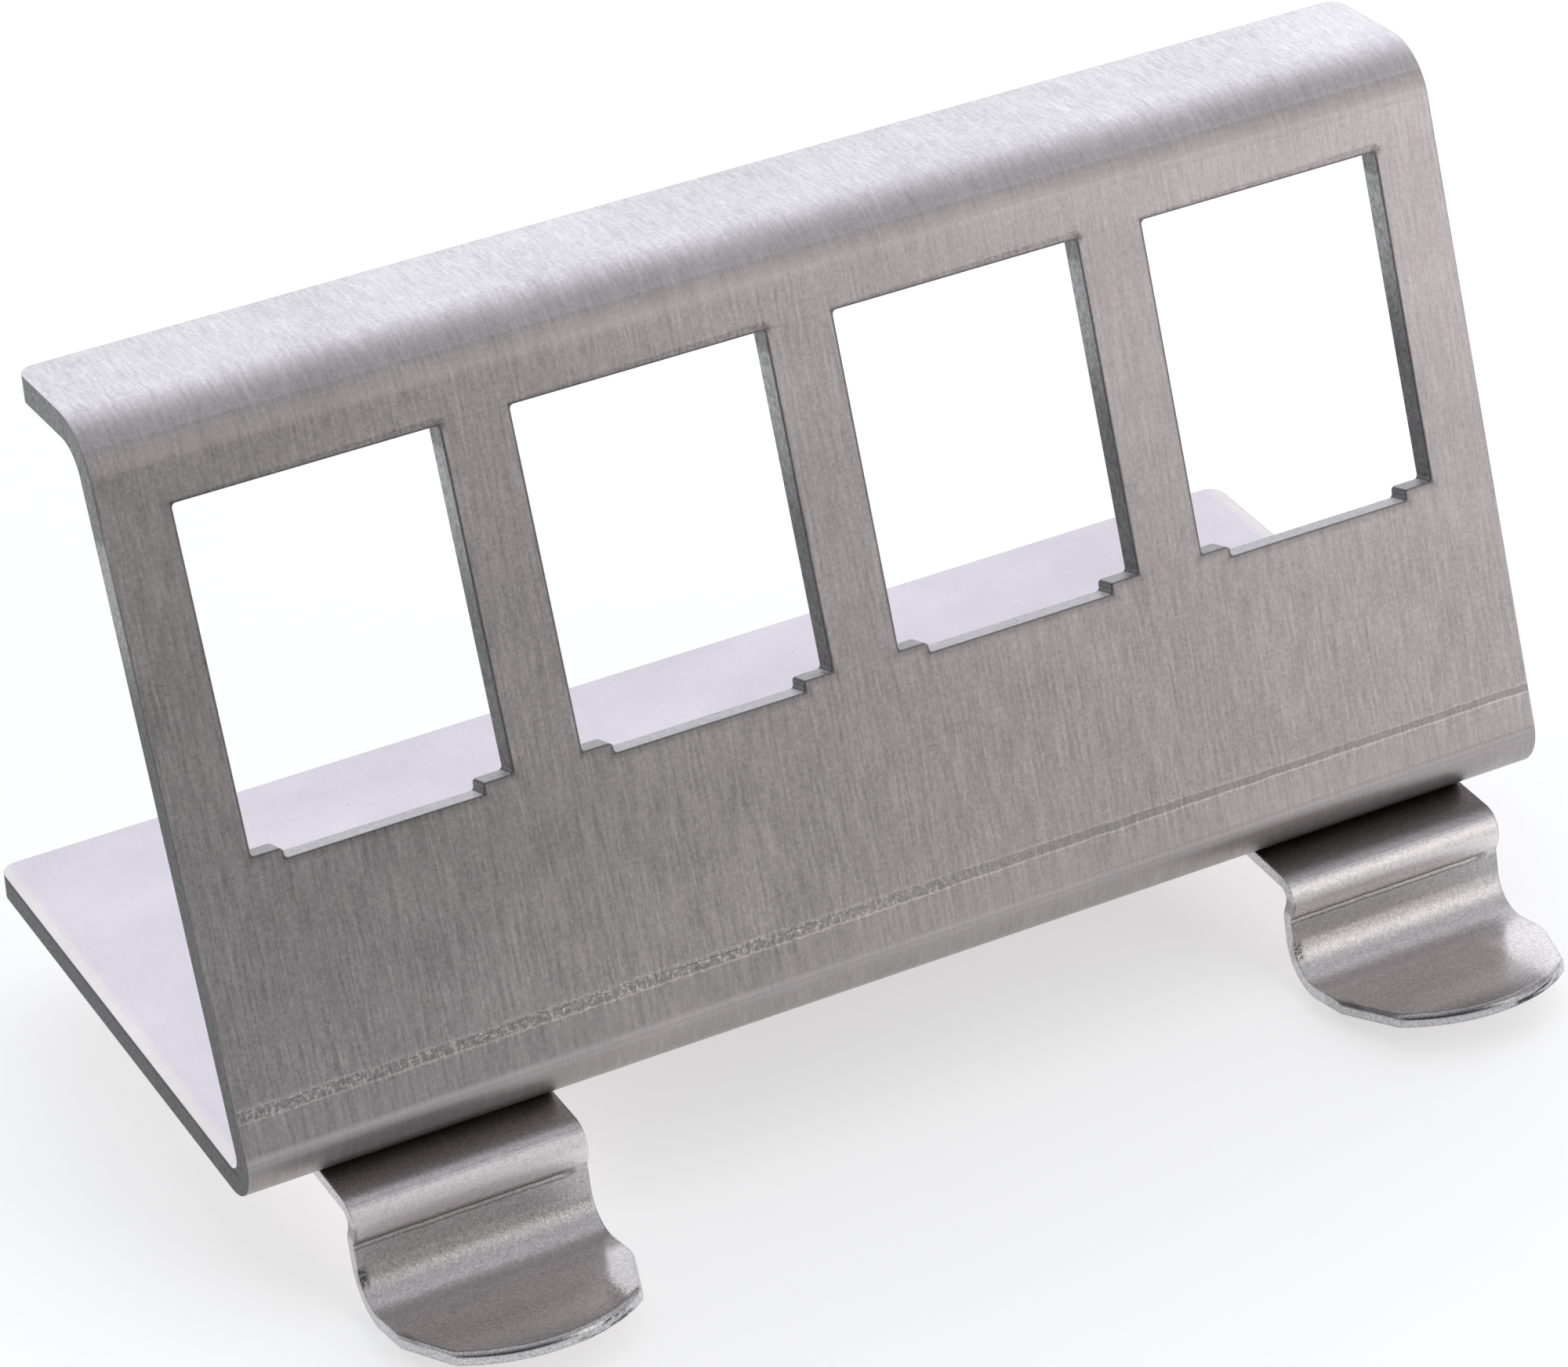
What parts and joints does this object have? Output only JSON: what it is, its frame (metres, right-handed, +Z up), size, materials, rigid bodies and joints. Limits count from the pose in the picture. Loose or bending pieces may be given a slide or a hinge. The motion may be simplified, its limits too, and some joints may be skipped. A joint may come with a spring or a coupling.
{
  "type": "keystone module holder",
  "caption": "Folded stainless steel holder with a leaning row of keystone module openings, carried on a 35 mm top-hat rail by riveted spring clips.",
  "frame": {"origin": "midway along the holder, on the rail's centre line and its top face, which is the plane of the clips' seats", "axes": "+X along the row of openings and the rail, +Y backwards, away from the panel's front, +Z up"},
  "size_m": [0.0788, 0.0476, 0.0456],
  "materials": {
    "stainless_sheet": "brushed along the panel's height, sheared edges",
    "rivet_steel": "plain formed steel",
    "nickel_spring_steel": "satin nickel plate with fine orange peel at the bends"
  },
  "bodies": {
    "root": {"bracket": "stainless_sheet", "clip_rivets": "rivet_steel", "left_clip": "nickel_spring_steel", "right_clip": "nickel_spring_steel"}
  },
  "joints": []
}
